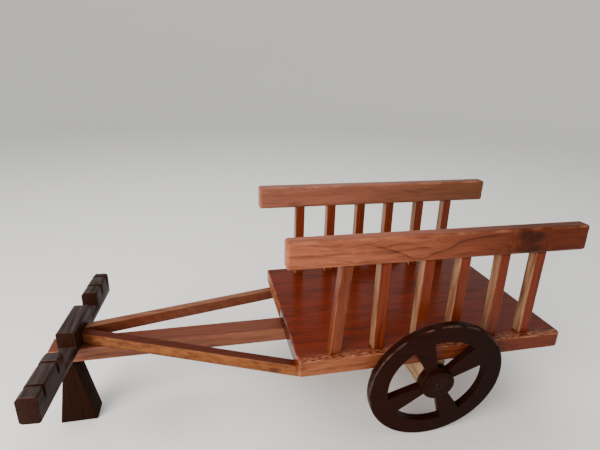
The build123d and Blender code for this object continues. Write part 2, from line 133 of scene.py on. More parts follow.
def finished_wood(name, early, late, dark, ring_mm, pith, turn=(0, 0, 0), sway_mm=7.0,
                  fibre_mm=0.8, ring_share=0.45, streak_share=0.6, worn_and_glint="#b87a58",
                  worn_and_glint_share=0.4, roughness=(0.3, 0.46), specular=0.3, coat=0.12,
                  coat_roughness=0.15, relief_mm=0.1, knots=(), along=None, faces=None,
                  scuffed=None, figure=None, seed=0.0):
    """Wood seen through its finish. early and late are the two halves of a growth ring,
    dark the stain that gathers in streaks. pith is where the tree's middle lay, in mm,
    once turn has laid the grain along X. knots are (x, y, z, radius, darkness) in mm.
    along is (from x, to x, colour, share), a darkening down the length: painted shade where
    the window light falls off towards the tail. faces is (direction, colour, share, from x,
    to x), the faces turned towards the lamps, given another tone as painted light, and where
    along the length that dies away. scuffed is (from y, to y), a strip along one side that
    hands have rubbed thin in specks. figure is (points as (x, z), width, darkness), one dark
    grain line that wanders along a face. The colour of the rubbed edges is worn wood, and on
    the dark wheel also a painted highlight."""
    material = bpy.data.materials.new(name)
    material.use_nodes = True
    tree = material.node_tree
    tree.nodes.clear()
    place = add_node(tree, "ShaderNodeTexCoord").outputs["Object"]
    laid = add_node(tree, "ShaderNodeMapping",
                    {"Vector": place, "Rotation": turn, "Location": (seed, seed, 0)})
    grain = laid.outputs["Vector"]

    # The board's slow drift, which turns straight rings into arches and waves.
    slow = add_node(tree, "ShaderNodeMapping", {"Vector": grain, "Scale": (9, 24, 24)})
    drift = add_node(tree, "ShaderNodeTexNoise",
                     {"Vector": slow.outputs["Vector"], "Scale": 1.0, "Detail": 2.5})
    centred = add_node(tree, "ShaderNodeVectorMath",
                       {0: drift.outputs["Color"], 1: (0.5, 0.5, 0.5)}, operation="SUBTRACT")
    ring_place = add_node(tree, "ShaderNodeVectorMath",
                          {0: centred.outputs["Vector"],
                           1: (0, 2 * sway_mm * MM, 2 * sway_mm * MM), 2: grain},
                          operation="MULTIPLY_ADD").outputs["Vector"]
    knot_dark = None
    for x, y, z, radius, darkness in knots:
        reach = add_node(tree, "ShaderNodeVectorMath",
                         {0: place, 1: (x * MM, y * MM, z * MM)}, operation="SUBTRACT")
        reach = add_node(tree, "ShaderNodeVectorMath",
                         {0: reach.outputs["Vector"], 1: (0.55, 1, 1)}, operation="MULTIPLY")
        reach = add_node(tree, "ShaderNodeVectorMath",
                         {0: centred.outputs["Vector"], 1: (0.02, 0.02, 0.02),
                          2: reach.outputs["Vector"]}, operation="MULTIPLY_ADD")
        reach = add_node(tree, "ShaderNodeVectorMath", {0: reach.outputs["Vector"]},
                         operation="LENGTH")
        near = add_node(tree, "ShaderNodeMapRange",
                        {"Value": reach.outputs["Value"], "From Min": radius * MM * 2.6,
                         "From Max": 0.0}, interpolation_type="SMOOTHERSTEP")
        # The rings bend round a knot by about twice its own radius.
        bend = add_node(tree, "ShaderNodeVectorMath",
                        {0: near.outputs["Result"],
                         1: (0, 2.0 * radius * MM, 2.0 * radius * MM), 2: ring_place},
                        operation="MULTIPLY_ADD")
        ring_place = bend.outputs["Vector"]
        heart = add_node(tree, "ShaderNodeMapRange",
                         {"Value": reach.outputs["Value"], "From Min": radius * MM * 1.5,
                          "From Max": radius * MM * 0.5, "To Max": darkness},
                         interpolation_type="SMOOTHERSTEP").outputs["Result"]
        knot_dark = heart if knot_dark is None else add_node(
            tree, "ShaderNodeMath", {0: knot_dark, 1: heart},
            operation="MAXIMUM").outputs["Value"]
    from_pith = add_node(tree, "ShaderNodeMapping",
                         {"Vector": ring_place, "Location": tuple(-p * MM for p in pith)})
    # One dark line each ring_mm: a Wave Texture's period is 0.314 over its scale.
    rings = add_node(tree, "ShaderNodeTexWave",
                     {"Vector": from_pith.outputs["Vector"], "Scale": 0.314 / (ring_mm * MM),
                      "Distortion": 2.2, "Detail": 2.0, "Detail Scale": 0.3,
                      "Detail Roughness": 0.65},
                     wave_type="RINGS", rings_direction="X", wave_profile="SAW")
    late_wood = add_node(tree, "ShaderNodeMapRange",
                         {"Value": rings.outputs["Fac"], "From Min": 0.2, "From Max": 1.0,
                          "To Max": ring_share}, interpolation_type="SMOOTHSTEP")
    fine = add_node(tree, "ShaderNodeMapping",
                    {"Vector": ring_place,
                     "Scale": (1 / (22 * MM), 1 / (fibre_mm * MM), 1 / (fibre_mm * MM))})
    fibre = add_node(tree, "ShaderNodeTexNoise",
                     {"Vector": fine.outputs["Vector"], "Scale": 1.0, "Detail": 3.0,
                      "Roughness": 0.65})
    broad = add_node(tree, "ShaderNodeMapping",
                     {"Vector": ring_place, "Scale": (1 / (60 * MM), 1 / (5 * MM), 1 / (5 * MM))})
    streak = add_node(tree, "ShaderNodeTexNoise",
                      {"Vector": broad.outputs["Vector"], "Scale": 1.0, "Detail": 4.0,
                       "Roughness": 0.6})
    colour = add_node(tree, "ShaderNodeMix",
                      {"Factor": late_wood.outputs["Result"], 6: srgb(early), 7: srgb(late)},
                      data_type="RGBA").outputs[2]
    # Darker down the length: painted shade where the window light falls off towards the tail.
    if along:
        start, end, tone, share = along
        parts = add_node(tree, "ShaderNodeSeparateXYZ", {0: place})
        down = add_node(tree, "ShaderNodeMath", {0: streak.outputs["Fac"], 1: 0.05,
                                                 2: parts.outputs[0]},
                        operation="MULTIPLY_ADD")
        fade = add_node(tree, "ShaderNodeMapRange",
                        {"Value": down.outputs[0], "From Min": start * MM + 0.025,
                         "From Max": end * MM + 0.025, "To Max": share})
        colour = add_node(tree, "ShaderNodeMix",
                          {"Factor": fade.outputs["Result"], 6: colour, 7: srgb(tone)},
                          data_type="RGBA").outputs[2]
    # Faces turned towards the lamps take a lighter tone: painted light.
    if faces:
        direction, tone, share, from_x, to_x = faces
        geometry = add_node(tree, "ShaderNodeNewGeometry")
        facing = add_node(tree, "ShaderNodeVectorMath",
                          {0: geometry.outputs["Normal"], 1: direction},
                          operation="DOT_PRODUCT")
        lit_share = add_node(tree, "ShaderNodeMapRange",
                         {"Value": facing.outputs["Value"], "From Min": 0.45,
                          "From Max": 0.85, "To Max": share})
        uneven = add_node(tree, "ShaderNodeMapRange",
                          {"Value": streak.outputs["Fac"], "From Min": 0.3, "From Max": 0.6,
                           "To Min": 1.0, "To Max": 0.45})
        lit_share = add_node(tree, "ShaderNodeMath",
                         {0: lit_share.outputs["Result"], 1: uneven.outputs["Result"]},
                         operation="MULTIPLY")
        if to_x is not None:
            parts = add_node(tree, "ShaderNodeSeparateXYZ", {0: place})
            fade = add_node(tree, "ShaderNodeMapRange",
                            {"Value": parts.outputs[0], "From Min": from_x * MM,
                             "From Max": to_x * MM, "To Min": 1.0, "To Max": 0.1})
            lit_share = add_node(tree, "ShaderNodeMath",
                             {0: lit_share.outputs[0], 1: fade.outputs["Result"]},
                             operation="MULTIPLY")
        colour = add_node(tree, "ShaderNodeMix",
                          {"Factor": lit_share.outputs[0], 6: colour, 7: srgb(tone)},
                          data_type="RGBA").outputs[2]
    gathered = add_node(tree, "ShaderNodeMapRange",
                        {"Value": streak.outputs["Fac"], "From Min": 0.46, "From Max": 0.8,
                         "To Max": streak_share}, interpolation_type="SMOOTHSTEP")
    colour = add_node(tree, "ShaderNodeMix",
                      {"Factor": gathered.outputs["Result"], 6: colour, 7: srgb(dark)},
                      data_type="RGBA").outputs[2]
    if figure:
        colour = grain_line(tree, place, centred.outputs["Vector"], streak.outputs["Fac"],
                            colour, srgb(dark), *figure)
    if knot_dark is not None:
        stroke = add_node(tree, "ShaderNodeMapRange",
                          {"Value": fibre.outputs["Fac"], "From Min": 0.35, "From Max": 0.6,
                           "To Min": 0.6})
        knot_dark = add_node(tree, "ShaderNodeMath",
                             {0: knot_dark, 1: stroke.outputs["Result"]},
                             operation="MULTIPLY").outputs["Value"]
        colour = add_node(tree, "ShaderNodeMix",
                          {"Factor": knot_dark, 6: colour, 7: srgb(dark)},
                          data_type="RGBA").outputs[2]
    # Fibres lighten and darken the colour by about a sixth.
    fleck = add_node(tree, "ShaderNodeMapRange",
                     {"Value": fibre.outputs["Fac"], "From Min": 0.3, "From Max": 0.7,
                      "To Min": 0.82, "To Max": 1.16})
    colour = add_node(tree, "ShaderNodeVectorMath",
                      {0: colour, 1: fleck.outputs["Result"]}, operation="MULTIPLY").outputs[0]
    rubbed = add_node(tree, "ShaderNodeAttribute", attribute_name="rubbed")
    patches = add_node(tree, "ShaderNodeTexNoise",
                       {"Vector": grain, "Scale": 1 / (16 * MM), "Detail": 3.0})
    bare = add_node(tree, "ShaderNodeMapRange",
                    {"Value": patches.outputs["Fac"], "From Min": 0.42, "From Max": 0.66,
                     "To Max": worn_and_glint_share})
    worn_glint_mask = add_node(tree, "ShaderNodeMath",
                   {0: rubbed.outputs["Fac"], 1: bare.outputs["Result"]},
                   operation="MULTIPLY", use_clamp=True)
    if scuffed:
        parts = add_node(tree, "ShaderNodeSeparateXYZ", {0: place})
        strip = add_node(tree, "ShaderNodeMapRange",
                         {"Value": parts.outputs[1], "From Min": scuffed[0] * MM,
                          "From Max": scuffed[1] * MM, "To Max": 0.75},
                         interpolation_type="SMOOTHSTEP")
        drawn_out = add_node(tree, "ShaderNodeMapping", {"Vector": grain, "Scale": (0.35, 1, 1)})
        specks = add_node(tree, "ShaderNodeTexNoise",
                          {"Vector": drawn_out.outputs["Vector"], "Scale": 1 / (1.8 * MM),
                           "Detail": 3.0})
        upward = add_node(tree, "ShaderNodeSeparateXYZ",
                          {0: add_node(tree, "ShaderNodeNewGeometry").outputs["Normal"]})
        thin = add_node(tree, "ShaderNodeMapRange",
                        {"Value": specks.outputs["Fac"], "From Min": 0.4, "From Max": 0.64,
                         "To Max": upward.outputs[2]})
        strip = add_node(tree, "ShaderNodeMath",
                         {0: strip.outputs["Result"], 1: thin.outputs["Result"]},
                         operation="MULTIPLY")
        worn_glint_mask = add_node(tree, "ShaderNodeMath",
                       {0: worn_glint_mask.outputs["Value"], 1: strip.outputs["Value"]},
                       operation="MAXIMUM")
    # Rubbed edges take the worn colour: worn wood, and on the wheel's rim also a painted highlight.
    colour = add_node(tree, "ShaderNodeMix",
                      {"Factor": worn_glint_mask.outputs["Value"], 6: colour, 7: srgb(worn_and_glint)},
                      data_type="RGBA").outputs[2]
    smooth = add_node(tree, "ShaderNodeMapRange",
                      {"Value": streak.outputs["Fac"], "From Min": 0.3, "From Max": 0.7,
                       "To Min": roughness[0], "To Max": roughness[1]})
    height = add_node(tree, "ShaderNodeMath",
                      {0: fibre.outputs["Fac"], 1: 0.5, 2: rings.outputs["Fac"]},
                      operation="MULTIPLY_ADD")
    bump = add_node(tree, "ShaderNodeBump",
                    {"Height": height.outputs["Value"], "Strength": 1.0,
                     "Distance": relief_mm * MM})
    shader = add_node(tree, "ShaderNodeBsdfPrincipled",
                      {"Base Color": colour, "Roughness": smooth.outputs["Result"],
                       "Normal": bump.outputs["Normal"], "Coat Weight": coat,
                       "Coat Roughness": coat_roughness, "Specular IOR Level": specular})
    add_node(tree, "ShaderNodeOutputMaterial", {"Surface": shader.outputs["BSDF"]})
    return material


# A red board under dark varnish: it mirrors the rails softly, and shows pale specks of
# rubbed-thin wood along the left edge. Its front end and left side are painted lighter near
# the front as painted light, and it darkens towards the tail as painted shade.
deck_wood = finished_wood("varnished_mahogany_stained_deck", "#64220f", "#4d1a0b", "#260c06",
                          ring_mm=9.0, pith=(0, 55, -90), streak_share=0.9, specular=0.1,
                          roughness=(0.13, 0.3), coat=0.03, coat_roughness=0.1,
                          worn_and_glint="#ab7453", worn_and_glint_share=0.55, scuffed=(-92, -107),
                          along=(150, 290, "#4a1a05", 0.75),
                          faces=((-0.6, -0.8, 0), "#8e5838", 0.95, 0, 210))
# Orange-red varnished wood that darkens towards the tail: partly its own browning, partly
# painted shade where the window light falls off. One dark grain line and a knotty
# patch catch the eye on it.
near_rail_wood = finished_wood("varnished_cedar_left_rail", "#95553e", "#7c4125", "#2c0e04",
                               ring_mm=7.0, pith=(0, -60, 150), sway_mm=13.0,
                               streak_share=0.8, specular=0.08, coat=0.03,
                               worn_and_glint="#c08863", worn_and_glint_share=0.35,
                               knots=((203, -102, 229, 5, 0.95), (205, -102, 216, 5, 0.8),
                                      (211, -102, 222, 6, 0.8), (217, -102, 226, 5.5, 1.0),
                                      (219, -102, 214, 6.5, 1.0), (233, -102, 211, 3.5, 0.6)),
                               figure=(((30, 232), (60, 223), (72, 218), (91, 212),
                                        (103, 216), (120, 221), (132, 227), (150, 230),
                                        (185, 234)), 2.2, 0.7),
                               along=(20, 205, "#4e1c03", 0.95))
# The same wood, plainer and browner, and darker towards the tail as painted shade, so that
# the right rail sits back.
far_rail_wood = finished_wood("varnished_cedar_right_rail", "#87513e", "#6e3d29", "#43200f",
                              ring_mm=7.0, pith=(0, -95, 150), sway_mm=9.0, seed=0.31,
                              specular=0.2, coat=0.06, along=(70, 280, "#5c300c", 0.9))
# Deep red strips with pale front faces, partly paler wood and partly painted light from the
# window side: a pale face beside a dark one.
baluster_wood = finished_wood("varnished_cedar_baluster", "#65260f", "#501b09", "#2c0d05",
                              ring_mm=5.0, pith=(0, -70, 20), turn=(0, QUARTER, 0),
                              specular=0.13, coat=0.03,
                              faces=((-1, 0, 0), "#8e7459", 0.85, None, None))
# The first strip is red-brown on every face, without the pale front face.
first_baluster_wood = finished_wood("varnished_cedar_first_baluster", "#68311b", "#572612",
                                    "#351408", ring_mm=5.0, pith=(0, -70, 20),
                                    turn=(0, QUARTER, 0), specular=0.13, coat=0.03)
# A red-brown varnished bar whose left side is painted paler: painted light from the window
# side.
drawbar_wood = finished_wood("varnished_cedar_pole", "#6a3825", "#562514", "#381407",
                             ring_mm=5.0, pith=(0, 30, 60), specular=0.16, coat=0.03,
                             faces=((0, -1, 0), "#80503a", 0.85, None, None))
# Dark red on top and light orange-brown on the left side, where the window light is painted
# in as painted light, so the brace reads as two tones.
near_brace_wood = finished_wood("varnished_cedar_left_brace", "#4a1c0b", "#3c1507", "#230a04",
                                ring_mm=5.0, pith=(0, 30, 60), specular=0.09, coat=0.02,
                                knots=((-52, -78, 88, 4, 0.45),),
                                faces=((0, -1, 0), "#84502a", 0.95, None, None))
# A pinker brown, painted palest on top as painted light from above.
far_brace_wood = finished_wood("varnished_cedar_right_brace", "#6f3a24", "#5c2c18", "#3a170b",
                               ring_mm=5.0, pith=(0, 10, 50), specular=0.15, coat=0.03,
                               seed=0.17, faces=((0, 0, 1), "#8a6046", 0.7, None, None))
# Bare softwood: pale, dry and without shine against all the varnish.
block_wood = finished_wood("bare_softwood_block", "#b08c66", "#8d633c", "#482513",
                           ring_mm=3.0, pith=(0, 20, 30), turn=(0, 0, QUARTER), coat=0.0,
                           streak_share=0.85,
                           knots=((119, -70, 88, 6, 0.8), (108, -40, 80, 5, 0.7)))
# Bare birch: pale and matt wherever the end of a dowel shows.
dowel_wood = finished_wood("bare_birch_dowel", "#d9bd90", "#c7a676", "#b28e60",
                           ring_mm=1.5, pith=(0, 4, 9), turn=(0, QUARTER, 0), coat=0.0)
# Nearly black stain with a low shine, painted darker over its right half as painted shade.
# The wheel reads by its pale outer edge: rubbed wood, and a painted highlight too.
wheel_wood = finished_wood("walnut_stained_wheel", "#230c06", "#1d0a05", "#0e0503",
                           ring_mm=6.0, pith=(0, 60, 40), ring_share=0.3, streak_share=0.45,
                           worn_and_glint="#78645a", worn_and_glint_share=0.35, specular=0.025,
                           roughness=(0.2, 0.34), coat=0.0, along=(110, 200, "#100806", 0.75))
# The same stain, with a greyer painted sheen on the faces that look up: a painted
# reflection of the light above.
yoke_wood = finished_wood("walnut_stained_yoke", "#28130c", "#1c0d08", "#100705",
                          ring_mm=5.0, pith=(0, 20, -30), turn=(0, 0, QUARTER), worn_and_glint="#5c4238",
                          worn_and_glint_share=0.35, specular=0.04, roughness=(0.3, 0.5), coat=0.0,
                          faces=((0, 0, 1), "#484240", 0.75, None, None))
# The same stain left matt, with browner rubbed edges.
prop_wood = finished_wood("walnut_stained_prop", "#24120a", "#1a0d07", "#0e0603",
                          ring_mm=5.0, pith=(0, 20, -30), turn=(0, QUARTER, 0),
                          worn_and_glint="#5a3728", worn_and_glint_share=0.5, specular=0.02,
                          roughness=(0.6, 0.8), coat=0.0)


def screw_steel(name, bright, dull, rough_range):
    """Plated steel, faintly scuffed by the driver."""
    material = bpy.data.materials.new(name)
    material.use_nodes = True
    tree = material.node_tree
    tree.nodes.clear()
    place = add_node(tree, "ShaderNodeTexCoord").outputs["Object"]
    spots = add_node(tree, "ShaderNodeTexNoise",
                     {"Vector": place, "Scale": 1 / (1.5 * MM), "Detail": 3.0})
    rough = add_node(tree, "ShaderNodeMapRange",
                     {"Value": spots.outputs["Fac"], "To Min": rough_range[0],
                      "To Max": rough_range[1]})
    shade = add_node(tree, "ShaderNodeMix",
                     {"Factor": spots.outputs["Fac"], 6: srgb(dull), 7: srgb(bright)},
                     data_type="RGBA")
    shader = add_node(tree, "ShaderNodeBsdfPrincipled",
                      {"Base Color": shade.outputs[2], "Roughness": rough.outputs["Result"],
                       "Metallic": 1.0})
    add_node(tree, "ShaderNodeOutputMaterial", {"Surface": shader.outputs["BSDF"]})
    return material


# Zinc-plated steel: small bright heads under the cart.
steel = screw_steel("zinc_plated_steel", "#c4c5c2", "#a7a8a6", (0.25, 0.5))
# Blackened steel: the axle screws' heads stay as dark as the wheels round them.
dark_steel = screw_steel("blackened_steel", "#3a2a24", "#231a17", (0.4, 0.65))

finish_of = {"varnished_deck_wood": deck_wood, "varnished_rail_wood": far_rail_wood,
             "varnished_baluster_wood": baluster_wood, "varnished_drawbar_wood": drawbar_wood,
             "pale_block_wood": block_wood, "plain_dowel_wood": dowel_wood,
             "dark_stained_wheel_wood": wheel_wood, "dark_stained_yoke_wood": yoke_wood,
             "steel": steel}
own_finish = {"left_rail": near_rail_wood, "left_baluster_1": first_baluster_wood,
              "left_brace": near_brace_wood, "right_brace": far_brace_wood,
              "prop": prop_wood,
              "left_axle_screw": dark_steel, "right_axle_screw": dark_steel}
slot_of = {s["node"]: s["material_slot"] for s in frame["record"]["subparts"]}
body_with = {n: b for b, members in frame["record"]["behaviour"]["bodies"].items()
             for n in members}


def finish_for(node):
    """The material of a CAD node: its own board's where that differs, or its slot's."""
    return own_finish.get(node, finish_of[slot_of[node]])


def stands_for(piece, node):
    """Puts a finished piece in the place of one CAD node: in its body, with the node hidden."""
    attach(piece, body_with[node])
    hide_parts(node)


for node_name, piece in nodes.items():
    piece.data.materials.clear()
    piece.data.materials.append(finish_for(node_name))


# ------------------------------------------------------------- planed wooden bars

def planed_bar_tree():
    """A sawn bar after the plane and the sandpaper: rounded edges, faces that are not
    quite flat, and small dents along the edges. It leaves the attribute rubbed, 1 where
    hands and cloths touch first."""
    tree = bpy.data.node_groups.new("planed_bar", "GeometryNodeTree")
    face = tree.interface
    face.new_socket("Geometry", in_out="OUTPUT", socket_type="NodeSocketGeometry")
    for label, kind in (("Half Size", "Vector"), ("Edge Round", "Vector"),
                        ("Corner Share", "Vector"), ("Centre", "Vector"),
                        ("Cells X", "Int"), ("Cells Y", "Int"), ("Cells Z", "Int"),
                        ("Lean", "Float"), ("Unevenness", "Float"), ("Dent Depth", "Float"),
                        ("Wave Scale", "Vector"), ("Seed", "Float"), ("Finish", "Material")):
        face.new_socket(label, in_out="INPUT", socket_type="NodeSocket" + kind)
    given = add_node(tree, "NodeGroupInput").outputs
    cube = add_node(tree, "GeometryNodeMeshCube",
                    {"Size": (2, 2, 2), "Vertices X": given["Cells X"],
                     "Vertices Y": given["Cells Y"], "Vertices Z": given["Cells Z"]})
    place = add_node(tree, "GeometryNodeInputPosition").outputs["Position"]

    # Which way each point lies from the middle, and how far: along the flat of the face,
    # then into the round of the corner.
    size = add_node(tree, "ShaderNodeVectorMath", {0: place},
                    operation="ABSOLUTE").outputs["Vector"]
    side = add_node(tree, "ShaderNodeVectorMath", {0: place},
                    operation="SIGN").outputs["Vector"]
    share = given["Corner Share"]
    flat = add_node(tree, "ShaderNodeVectorMath", {0: size, 1: share},
                    operation="MINIMUM").outputs["Vector"]
    flat = add_node(tree, "ShaderNodeVectorMath", {0: flat, 1: share},
                    operation="DIVIDE").outputs["Vector"]
    corner = add_node(tree, "ShaderNodeVectorMath", {0: size, 1: share},
                      operation="SUBTRACT").outputs["Vector"]
    corner = add_node(tree, "ShaderNodeVectorMath", {0: corner, 1: (0, 0, 0)},
                      operation="MAXIMUM").outputs["Vector"]
    corner_room = add_node(tree, "ShaderNodeVectorMath", {0: (1, 1, 1), 1: share},
                           operation="SUBTRACT").outputs["Vector"]
    corner = add_node(tree, "ShaderNodeVectorMath", {0: corner, 1: corner_room},
                      operation="DIVIDE").outputs["Vector"]
    inner = add_node(tree, "ShaderNodeVectorMath",
                     {0: given["Half Size"], 1: given["Edge Round"]},
                     operation="SUBTRACT").outputs["Vector"]
    core = add_node(tree, "ShaderNodeVectorMath", {0: flat, 1: inner},
                    operation="MULTIPLY").outputs["Vector"]
    core = add_node(tree, "ShaderNodeVectorMath", {0: core, 1: side},
                    operation="MULTIPLY").outputs["Vector"]
    outward = add_node(tree, "ShaderNodeVectorMath", {0: corner, 1: side},
                       operation="MULTIPLY").outputs["Vector"]
    outward = add_node(tree, "ShaderNodeVectorMath", {0: outward},
                       operation="NORMALIZE").outputs["Vector"]
    rounded = add_node(tree, "ShaderNodeVectorMath",
                       {0: outward, 1: given["Edge Round"], 2: core},
                       operation="MULTIPLY_ADD").outputs["Vector"]
    parts = add_node(tree, "ShaderNodeSeparateXYZ", {0: corner})
    total = add_node(tree, "ShaderNodeMath", {0: parts.outputs[0], 1: parts.outputs[1]},
                     operation="ADD")
    total = add_node(tree, "ShaderNodeMath", {0: total.outputs[0], 1: parts.outputs[2]},
                     operation="ADD")
    edge = add_node(tree, "ShaderNodeMath", {0: total.outputs[0], 1: 1.0},
                    operation="SUBTRACT", use_clamp=True).outputs[0]
    wave_place = add_node(tree, "ShaderNodeVectorMath",
                          {0: rounded, 1: given["Wave Scale"]},
                          operation="MULTIPLY").outputs["Vector"]
    waves = add_node(tree, "ShaderNodeTexNoise",
                     {"Vector": wave_place, "W": given["Seed"], "Scale": 1.0, "Detail": 1.0},
                     noise_dimensions="4D")
    rise = add_node(tree, "ShaderNodeMath", {0: waves.outputs["Fac"], 1: 0.5},
                    operation="SUBTRACT")
    rise = add_node(tree, "ShaderNodeMath", {0: rise.outputs[0], 1: given["Unevenness"]},
                    operation="MULTIPLY")
    knocks = add_node(tree, "ShaderNodeTexNoise",
                      {"Vector": rounded, "W": given["Seed"], "Scale": 1 / (6 * MM),
                       "Detail": 1.0}, noise_dimensions="4D")
    knocked = add_node(tree, "ShaderNodeMapRange",
                       {"Value": knocks.outputs["Fac"], "From Min": 0.56, "From Max": 0.78})
    dent = add_node(tree, "ShaderNodeMath", {0: knocked.outputs[0], 1: edge},
                    operation="MULTIPLY")
    dent = add_node(tree, "ShaderNodeMath", {0: dent.outputs[0], 1: given["Dent Depth"]},
                    operation="MULTIPLY")
    out = add_node(tree, "ShaderNodeMath", {0: rise.outputs[0], 1: dent.outputs[0]},
                   operation="SUBTRACT")
    push = add_node(tree, "ShaderNodeVectorMath", {0: outward, "Scale": out.outputs[0]},
                    operation="SCALE").outputs["Vector"]
    worked = add_node(tree, "ShaderNodeVectorMath", {0: rounded, 1: push},
                      operation="ADD").outputs["Vector"]
    upright = add_node(tree, "ShaderNodeSeparateXYZ", {0: place}).outputs[2]
    tilt = add_node(tree, "ShaderNodeMath", {0: upright, 1: given["Lean"]},
                    operation="MULTIPLY")
    shift = add_node(tree, "ShaderNodeCombineXYZ", {0: tilt.outputs[0]}).outputs[0]
    final = add_node(tree, "ShaderNodeVectorMath", {0: worked, 1: shift},
                     operation="ADD").outputs["Vector"]
    final = add_node(tree, "ShaderNodeVectorMath", {0: final, 1: given["Centre"]},
                     operation="ADD").outputs["Vector"]
    # Both reads come before the move, because the place they read is the cube's own.
    marked = add_node(tree, "GeometryNodeStoreNamedAttribute",
                      {"Geometry": cube.outputs["Mesh"], "Name": "rubbed", "Value": edge},
                      data_type="FLOAT", domain="POINT")
    moved = add_node(tree, "GeometryNodeSetPosition",
                     {"Geometry": marked.outputs["Geometry"], "Position": final})
    smooth = add_node(tree, "GeometryNodeSetShadeSmooth",
                      {"Geometry": moved.outputs["Geometry"], "Shade Smooth": True})
    real = add_node(tree, "GeometryNodeRealizeInstances",
                    {"Geometry": smooth.outputs["Geometry"]})
    finished = add_node(tree, "GeometryNodeSetMaterial",
                        {"Geometry": real.outputs["Geometry"], "Material": given["Finish"]})
    add_node(tree, "NodeGroupOutput", {"Geometry": finished.outputs["Geometry"]})
    return tree


def grown(name, tree, values, seed_mesh=None):
    """A plain mesh object from a geometry tree with these input values."""
    holder = bpy.data.objects.new(name, seed_mesh or bpy.data.meshes.new(name))
    bpy.context.scene.collection.objects.link(holder)
    modifier = holder.modifiers.new("made", "NODES")
    modifier.node_group = tree
    sockets = {s.name: s.identifier for s in tree.interface.items_tree
               if s.in_out == "INPUT"}
    for label, value in values.items():
        modifier[sockets[label]] = value
    holder.data.update()
    bpy.context.view_layer.update()
    seen = holder.evaluated_get(bpy.context.evaluated_depsgraph_get())
    mesh = bpy.data.meshes.new_from_object(seen)
    holder.modifiers.remove(modifier)
    holder.data = mesh
    mesh.name = name
    return holder


bar_tree = planed_bar_tree()
CORNER_CELLS = 3
BALUSTER_MM = 12.0
WAVE_REACH = 3.5  # the faces are drawn in by unevenness over this, so waves stay in the box


def planed_bar(name, node, round_mm, cells, wave_mm, uneven_mm, dent_mm, seed, lean_mm=0.0):
    """Stands for the bar-shaped CAD node: the same box, worked by hand."""
    low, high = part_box(node)
    half = (high - low) / 2
    half.x -= abs(lean_mm) * MM / 2
    counts = [c + 2 * CORNER_CELLS + 1 for c in cells]
    values = {"Half Size": tuple(h - uneven_mm * MM / WAVE_REACH for h in half),
              "Edge Round": tuple(r * MM for r in round_mm),
              "Corner Share": tuple(1 - 2 * CORNER_CELLS / (n - 1) for n in counts),
              "Centre": tuple((low + high) / 2), "Cells X": counts[0],
              "Cells Y": counts[1], "Cells Z": counts[2], "Lean": lean_mm * MM / 2,
              "Unevenness": uneven_mm * MM, "Dent Depth": dent_mm * MM,
              "Wave Scale": tuple(1 / (w * MM) for w in wave_mm), "Seed": seed,
              "Finish": finish_for(node)}
    bar = grown(name, bar_tree, values)
    stands_for(bar, node)


for side in ("left", "right"):
    planed_bar(side + "_planed_rail", side + "_rail", (3.0, 3.2, 3.2), (120, 8, 14),
               (70, 14, 14), 0.5, 0.6, 3.1 if side == "left" else 8.4)
    for number in range(1, 7):
        node = f"{side}_baluster_{number}"
        low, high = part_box(node)
        lean = (high.x - low.x) / MM - BALUSTER_MM
        planed_bar(f"{side}_planed_baluster_{number}", node, (1.0, 1.0, 0.15), (8, 8, 44),
                   (10, 10, 45), 0.35, 0.35, number + (0.5 if side == "left" else 20.5),
                   lean_mm=max(0.0, round(lean, 3)))
planed_bar("planed_pole", "drawbar_pole", (1.0, 1.3, 1.3), (130, 12, 8),
           (70, 14, 14), 0.4, 0.5, 41.0)


# ------------------------------------------------------- shaped pieces, edges eased

def merged_copy(node):
    """A CAD node's solid with its loose triangles merged into whole faces."""
    shape = bmesh.new()
    shape.from_mesh(nodes[node].data)
    bmesh.ops.remove_doubles(shape, verts=shape.verts, dist=SAME_CORNER)
    bmesh.ops.dissolve_limit(shape, angle_limit=SAME_FACE, verts=shape.verts,
                             edges=shape.edges)
    return shape


def settled(name, node, shape):
    """The finished piece from its shape, shaded so that flat faces stay flat and the
    rounds between them are smooth."""
    mesh = bpy.data.meshes.new(name)
    shape.to_mesh(mesh)
    shape.free()
    mesh.materials.clear()
    mesh.materials.append(finish_for(node))
    mesh.shade_smooth()
    piece = bpy.data.objects.new(name, mesh)
    bpy.context.scene.collection.objects.link(piece)
    steady = piece.modifiers.new("flat faces stay flat", "WEIGHTED_NORMAL")
    steady.mode = "FACE_AREA"
    steady.weight = 100
    seen = piece.evaluated_get(bpy.context.evaluated_depsgraph_get())
    finished = bpy.data.meshes.new_from_object(seen)
    piece.modifiers.remove(steady)
    piece.data = finished
    stands_for(piece, node)


EASED_STEPS = 3
SHARP_EDGE = math.radians(28.0)
SAME_FACE = math.radians(1.0)
OPENING_RUB = 0.1  # how far the openings' edges are rubbed, against 1 on the outer edge


